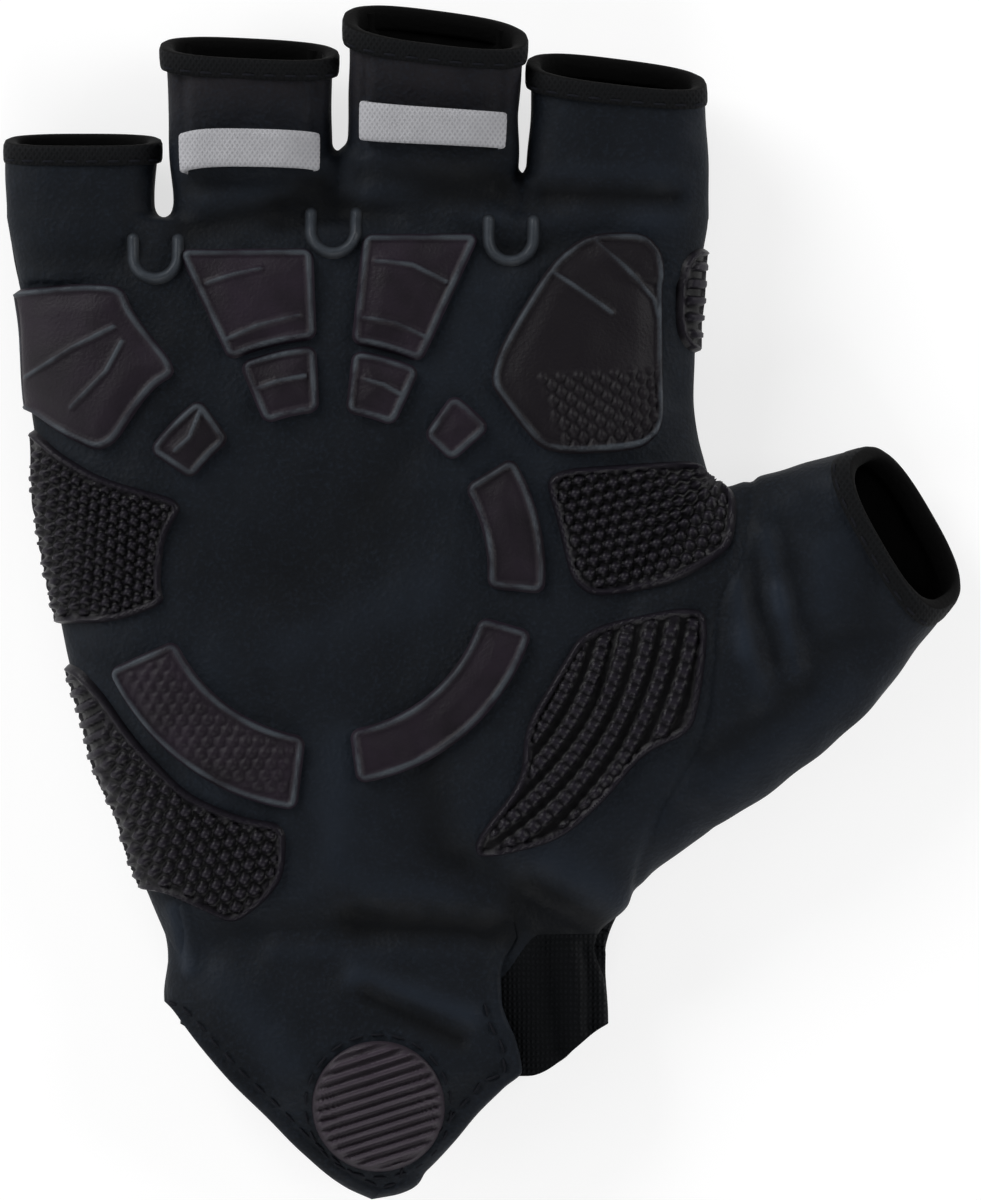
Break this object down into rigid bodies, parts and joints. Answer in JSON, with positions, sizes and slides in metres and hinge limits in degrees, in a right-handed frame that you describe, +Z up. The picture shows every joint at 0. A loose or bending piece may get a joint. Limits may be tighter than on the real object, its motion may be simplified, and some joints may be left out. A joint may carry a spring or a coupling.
{
  "type": "cycling glove",
  "caption": "Fingerless cycling glove for the right hand, lying palm up, with a padded palm, ribbed grips, finger pull loops and a closing flap at the wrist.",
  "frame": {"origin": "under the middle of the glove's box, on the surface that it rests on", "axes": "+X across the palm towards the thumb, +Y from the wrist to the fingers, +Z up out of the palm"},
  "size_m": [0.1412, 0.176, 0.022],
  "materials": {
    "palm_leather": "matte synthetic leather, fine grain",
    "knit": "matte stretch knit",
    "padding": "satin, pressed over foam",
    "silicone": "satin, ribbed",
    "binding": "matte woven tape",
    "reflective_tape": "soft sheen",
    "patch_rubber": "satin, ribbed"
  },
  "bodies": {
    "root": {"palm_panel": "palm_leather", "back_panel": "knit", "thumb_stall": "palm_leather", "little_stall": "palm_leather", "ring_stall": "palm_leather", "middle_stall": "palm_leather", "index_stall": "palm_leather", "little_hem": "binding", "ring_hem": "binding", "middle_hem": "binding", "index_hem": "binding", "thumb_hem": "binding", "cuff_band": "knit", "wrist_flap": "palm_leather", "flap_patch": "patch_rubber", "middle_inner_cell": "padding", "ring_inner_cell": "padding", "little_inner_cell": "padding", "heel_inner_cell": "padding", "thumb_inner_cell": "padding", "web_inner_cell": "padding", "index_inner_cell": "padding", "middle_base_cell": "padding", "ring_base_cell": "padding", "little_base_cell": "padding", "index_base_cell": "padding", "side_grip": "silicone", "heel_grip": "silicone", "web_grip": "silicone", "thumb_heel_grip": "silicone", "index_edge_grip": "silicone", "little_crotch_ridge": "padding", "ring_crotch_ridge": "padding", "middle_crotch_ridge": "padding", "ring_pull_tab": "reflective_tape", "middle_pull_tab": "reflective_tape"}
  },
  "joints": []
}
